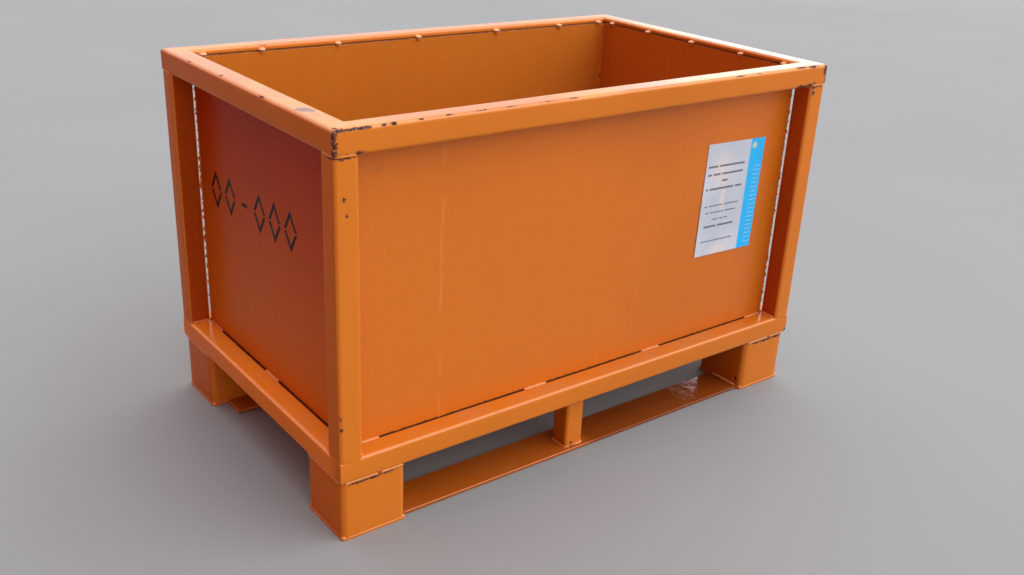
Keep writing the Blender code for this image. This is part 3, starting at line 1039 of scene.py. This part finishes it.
def make_paints():
    """All the paints by name; the end sheets have weathered more matt than the long ones."""
    # the seam gaps' dark spots are painted shade, drawn like the chips
    spots = RIM_CHIPS + BODY_CHIPS + SEAM_GAP_SHADE
    joint = {"dirt": 0.1, "peel": 0.6}
    paints = {
        "frame": paint("frame_orange", spots=spots),
        # the ends' paint is a painted shade of the frame's faces that look along X
        "ends": paint("frame_orange_ends", spots=spots, ior=1.12, fresh=END_SHADE_ORANGE),
        # painted shade for the posts' inner faces
        "recess": paint("frame_orange_recess", ior=1.12, fresh=RECESS_SHADE_ORANGE),
        "weld": paint("weld_orange", gloss=0.24, wear=0.8, spots=BURNS, **joint),
        # the stitch welds' paler paint is a painted highlight
        "stitch": paint("stitch_orange", gloss=0.20, wear=0.5, fresh=STITCH_SHEEN_ORANGE, **joint),
        # the tacks' paler paint is a painted sheen
        "tack": paint("tack_orange", gloss=0.20, wear=0.5, fresh=TACK_SHEEN_ORANGE, **joint),
        # the skid bars' darker paint is a painted shade
        "skid": paint("skid_orange", gloss=0.12, dirt=0.05, wear=0.9, peel=0.7,
                      fresh=SKID_SHADE_ORANGE),
        "floor": paint("floor_orange", gloss=0.36, dirt=0.9, wear=1.0),
    }
    for side, chips, ior in (("front", DOT_CHIP, 1.38), ("back", (), 1.38),
                             ("left", (), 1.12), ("right", (), 1.12)):
        paints[side] = paint(f"sheet_orange_{side}", gloss=0.27, runs=0.06, wear=0.3,
                             spots=chips, sheet=True, freckles=0.5, fresh=SHEET_ORANGE,
                             ior=ior)
    shaded_tint(paints["left"], RAIL_TOP, RIM_LOW, (0.92, 0.92, 0.90), (0.62, 0.24, 0.30))
    # painted light on the left bottom rail
    for name in ("frame", "ends"):
        lit_left_rail(paints[name])
    paint_run(paints["front"], 0.277, 0.0040, 0.42)
    shaded_skid_end(paints["skid"])
    stencil_mark(paints["left"])
    return {name: graph.material for name, graph in paints.items()}


def label_ink(g, u, v):
    """Rows of plain bars, centred on the label's pale field."""
    tall, short, gap, field_middle = 0.0052, 0.0030, 0.0055, -0.030
    rows = (
        # height from the middle, bar height, bar widths
        (0.089, tall, (0.036, 0.092)), (0.068, tall, (0.014, 0.026, 0.078)),
        (0.050, tall, (0.022,)), (0.030, tall, (0.009, 0.088, 0.024)),
        (-0.015, short, (0.012, 0.050, 0.052)), (-0.033, short, (0.012, 0.048, 0.040)),
        (-0.052, short, (0.022, 0.014, 0.012)), (-0.070, tall, (0.044, 0.060)),
        (-0.110, short, (0.116,)),
    )
    ink = 0.0
    for row, bar, widths in rows:
        left = field_middle - (sum(widths) + gap * (len(widths) - 1)) / 2
        for width in widths:
            shape = g.box_mask(u, v, (left + width / 2, row), (width, bar), 0.0003)
            ink = g.math("MAXIMUM", ink, shape)
            left += width + gap
    return ink


def label_material(origin, across, upward, size):
    """Printed film: silver-grey field, blue band at the right, rows of plain bars."""
    g = Graph("label_print")
    width, height = size
    away = g.vector("SUBTRACT", g.place, tuple(origin))
    u = g.vector("DOT_PRODUCT", away, tuple(across))
    v = g.vector("DOT_PRODUCT", away, tuple(upward))
    g.colour = g.mix(g.step(g.noise(7.0, 1.0), 0.3, 0.7), (0.52, 0.57, 0.64), (0.60, 0.65, 0.72))
    for middle, radii, strength in (((-0.045, 0.075), (0.060, 0.075), 0.60),
                                    ((-0.030, 0.000), (0.012, 0.060), 0.75),
                                    ((-0.020, -0.138), (0.060, 0.022), 0.70)):
        reach = g.hypot(g.times(g.minus(u, middle[0]), 1 / radii[0]),
                        g.times(g.minus(v, middle[1]), 1 / radii[1]))
        g.colour = g.mix(g.step(reach, 1.0, 0.1, 0.0, strength), g.colour, (0.80, 0.68, 0.62))
    band_width = 0.052
    band_middle = (width - band_width) / 2
    band = g.box_mask(u, v, (band_middle, 0.0), (band_width, height), 0.0004)
    g.colour = g.mix(band, g.colour, (0.012, 0.50, 0.98))
    g.colour = g.mix(g.times(label_ink(g, u, v), 0.80), g.colour, (0.045, 0.055, 0.075))
    dash_pitch = 0.0115
    dash = g.step(g.apart(g.math("FRACT", g.times(v, 1 / dash_pitch)), 0.5), 0.13, 0.09)
    lane = g.box_mask(u, v, (band_middle + 0.009, -0.030), (0.026, height - 0.080), 0.0004)
    g.colour = g.mix(g.times(dash, lane, 0.6), g.colour, (0.45, 0.66, 0.86))
    dot = g.hypot(g.minus(u, width / 2 - 0.038), g.minus(v, height / 2 - 0.018))
    g.colour = g.mix(g.step(dot, 0.0085, 0.0078), g.colour, (0.62, 0.64, 0.50))
    g.set("Roughness", g.step(g.noise(40.0, 4.0), 0.3, 0.7, 0.22, 0.34))
    g.set("Normal", g.bump(g.noise(26.0, 2.0), 0.0010, 0.25))
    return g.material


def add_label():
    """Film stuck on by hand, slightly turned."""
    low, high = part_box("label")
    width, height, turn = 0.210, 0.297, math.radians(1.5)
    middle = (low + high) / 2
    across = Vector((math.cos(turn), 0.0, -math.sin(turn)))
    upward = Vector((math.sin(turn), 0.0, math.cos(turn)))
    corner = Vector((width, high.y - low.y, height)) / 2
    bm = bmesh.new()
    grid_slab(bm, -corner, corner, 1, (16, 22), 0.0001, lambda point: 0.0)
    for vert in bm.verts:
        vert.co = middle + across * vert.co.x + upward * vert.co.z + Vector((0, vert.co.y, 0))
    material = label_material(middle, across, upward, (width, height))
    add_piece("bin_label", bm, material, ["label"], sharp=60)


def dress_bearers(material):
    """The floor bearers and leg caps keep their CAD shape and take the frame's paint."""
    names = [f"floor_bearer_{place}" for place in ("left", "centre", "right")]
    names += [f"leg_cap_{corner}" for corner in CORNERS]
    for name in names:
        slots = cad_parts[name].data.materials
        slots.clear()
        slots.append(material)


# --- stage ----------------------------------------------------------------------------
CAMERA_AT = (-1.5811, -2.0767, 1.3912)
CAMERA_TURN = (66.905, -2.542, -37.116)       # degrees, XYZ
CAMERA_LENS = 37.22
FLOOR_GREY = (0.250, 0.266, 0.264)
SKY_STRENGTH = 2.2
HORIZON_GLOW = 2.2            # extra light low on the right, mirrored in the rails' tops


def add_floor_plane():
    """Plain pale floor, far wider than any view."""
    bm = bmesh.new()
    bmesh.ops.create_grid(bm, x_segments=2, y_segments=2, size=60.0)
    floor = add_object("studio_floor", mesh_from(bm, "studio_floor"))
    g = Graph("studio_floor")
    paler = tuple(part * 1.05 for part in FLOOR_GREY)
    g.colour = g.mix(g.step(g.noise(0.6, 3.0), 0.3, 0.7), FLOOR_GREY, paler)
    g.set("Roughness", 0.85)
    floor.data.materials.append(g.material)


def add_light():
    """Overcast sky, brightest overhead, dim and warm towards the left end, and a soft key."""
    world = bpy.data.worlds.new("soft_sky")
    bpy.context.scene.world = world
    sky = Nodes(world, "Background")
    towards = sky.node("ShaderNodeTexCoord").outputs["Generated"]
    x, _, z = sky.split(towards)[:3]
    sky.set("Color", sky.mix(sky.step(x, -0.80, 0.05), (0.30, 0.02, 0.02), (0.98, 1.00, 1.04)))
    rise = sky.times(sky.math("MAXIMUM", z, 0.0), SKY_STRENGTH * 2 / 3)
    to_right = sky.step(sky.vector("DOT_PRODUCT", towards, (1.0, 0.08, 0.0)), 0.70, 0.81,
                        HORIZON_GLOW * 0.10, HORIZON_GLOW)
    glow = sky.times(to_right, sky.step(z, 0.60, 0.15))
    sky.set("Strength", sky.plus(SKY_STRENGTH / 3, rise, glow))
    sun = bpy.data.lights.new("soft_key", "SUN")
    sun.energy = 0.74
    sun.angle = math.radians(60)
    lamp = add_object("soft_key", sun)
    lamp.rotation_euler = (math.radians(50), 0.0, math.radians(35))


def add_camera():
    """Camera where the bin is seen from its near left corner, slightly above the rim."""
    data = bpy.data.cameras.new("camera")
    data.lens = CAMERA_LENS
    data.sensor_width = 36.0
    data.sensor_fit = "HORIZONTAL"
    data.clip_end = 60.0
    camera = add_object("camera", data)
    camera.location = CAMERA_AT
    camera.rotation_euler = [math.radians(angle) for angle in CAMERA_TURN]
    bpy.context.scene.camera = camera


def build():
    """The stage first, then the materials and every piece."""
    add_camera()
    add_floor_plane()
    add_light()
    bpy.context.scene.view_settings.view_transform = "Standard"
    paints = make_paints()
    frame_paints = (paints["frame"], paints["ends"])
    add_frame(frame_paints, paints["recess"])
    add_legs(frame_paints)
    add_panels(paints)
    add_floor(paints["floor"])
    add_skids(paints["skid"])
    for add_welds in (add_post_welds, add_skid_welds, add_slit_lumps):
        add_welds(paints["weld"])
    for add_welds in (add_stitch_welds, add_leg_welds):
        add_welds(paints["stitch"])
    add_tack_welds(paints["tack"], paints["weld"])
    add_label()
    dress_bearers(paints["frame"])


build()
